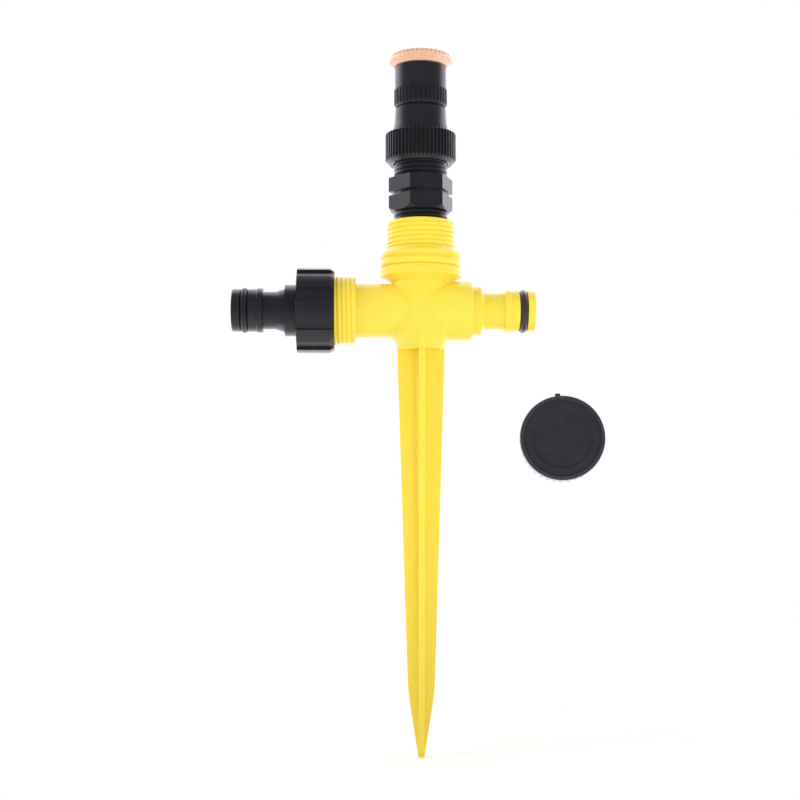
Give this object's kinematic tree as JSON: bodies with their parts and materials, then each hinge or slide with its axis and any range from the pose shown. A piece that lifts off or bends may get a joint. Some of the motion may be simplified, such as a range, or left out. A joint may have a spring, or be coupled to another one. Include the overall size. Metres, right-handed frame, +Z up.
{
  "type": "sprinkler",
  "caption": "Spike sprinkler for a garden hose: screwed hose connector, side outlet nipple, adjustable arc spray head and a loose end cap.",
  "frame": {"origin": "on the spray head's axis at the ground line, where the underside of the tee meets the spike", "axes": "+Z up along the spray head's axis, away from the spike's tip; +X along the ports towards the outlet nipple; -Y is the front, the side that the cap's closed face looks to"},
  "size_m": [0.1465, 0.0347, 0.272],
  "materials": {
    "yellow_plastic": "satin moulded plastic",
    "black_plastic": "satin moulded plastic",
    "peach_plastic": "satin moulded plastic",
    "black_rubber": "smooth rubber",
    "stainless_steel": "turned",
    "gauze": "woven gauze"
  },
  "bodies": {
    "base": {"spike_body": "yellow_plastic", "outlet_o_ring": "black_rubber", "hex_adapter": "black_plastic", "adapter_seal": "black_rubber"},
    "connector_seal": {"connector_gasket": "black_rubber"},
    "hose_connector": {"hose_connector": "black_plastic", "connector_o_ring": "black_rubber"},
    "head_seal": {"holder_gasket": "black_rubber"},
    "head": {"nozzle_holder": "black_plastic", "filter_basket": "black_plastic", "filter_mesh": "gauze", "nozzle_core": "black_plastic", "core_o_ring": "black_rubber", "collar_washer": "black_plastic", "collar_o_ring": "black_rubber", "spray_deflector": "peach_plastic", "flow_screw_o_ring": "black_rubber"},
    "arc_collar": {"arc_collar": "black_plastic"},
    "flow_screw": {"flow_screw": "stainless_steel"},
    "throttle": {"throttle_nut": "black_plastic"},
    "end_cap": {"end_cap": "black_plastic", "end_cap_gasket": "black_rubber"}
  },
  "joints": [
    {"name": "connector_travel", "type": "slide", "parent": "base", "child": "connector_seal", "axis": [-1, 0, 0], "range_m": [0, 0.0091]},
    {"name": "connector_turn", "type": "hinge", "parent": "connector_seal", "child": "hose_connector", "pos_m": [-0.04, 0, 0.01525], "axis": [-1, 0, 0], "range_deg": [0, 1800]},
    {"name": "head_travel", "type": "slide", "parent": "base", "child": "head_seal", "axis": [0, 0, 1], "range_m": [0, 0.0073]},
    {"name": "head_turn", "type": "hinge", "parent": "head_seal", "child": "head", "pos_m": [0, 0, 0.08], "axis": [0, 0, 1], "range_deg": [0, 1440]},
    {"name": "arc_adjust", "type": "hinge", "parent": "head", "child": "arc_collar", "pos_m": [0, 0, 0.1], "axis": [0, 0, 1], "range_deg": [-334, 0]},
    {"name": "flow_turn", "type": "hinge", "parent": "head", "child": "flow_screw", "pos_m": [0, 0, 0.11], "axis": [0, 0, 1], "range_deg": [-1800, 0]},
    {"name": "throttle_travel", "type": "slide", "parent": "head", "child": "throttle", "axis": [0, 0, 1], "range_m": [0, 0.003]},
    {"name": "cap_lift", "type": "slide", "parent": "base", "child": "end_cap", "axis": [0, 0, 1], "range_m": [0, 0.02]}
  ],
  "couplings": [
    {"joint": "connector_travel", "follows": "connector_turn", "m_per_rad": 0.00028871},
    {"joint": "head_travel", "follows": "head_turn", "m_per_rad": 0.00028871},
    {"joint": "throttle_travel", "follows": "flow_turn", "m_per_rad": -0.000095483}
  ]
}
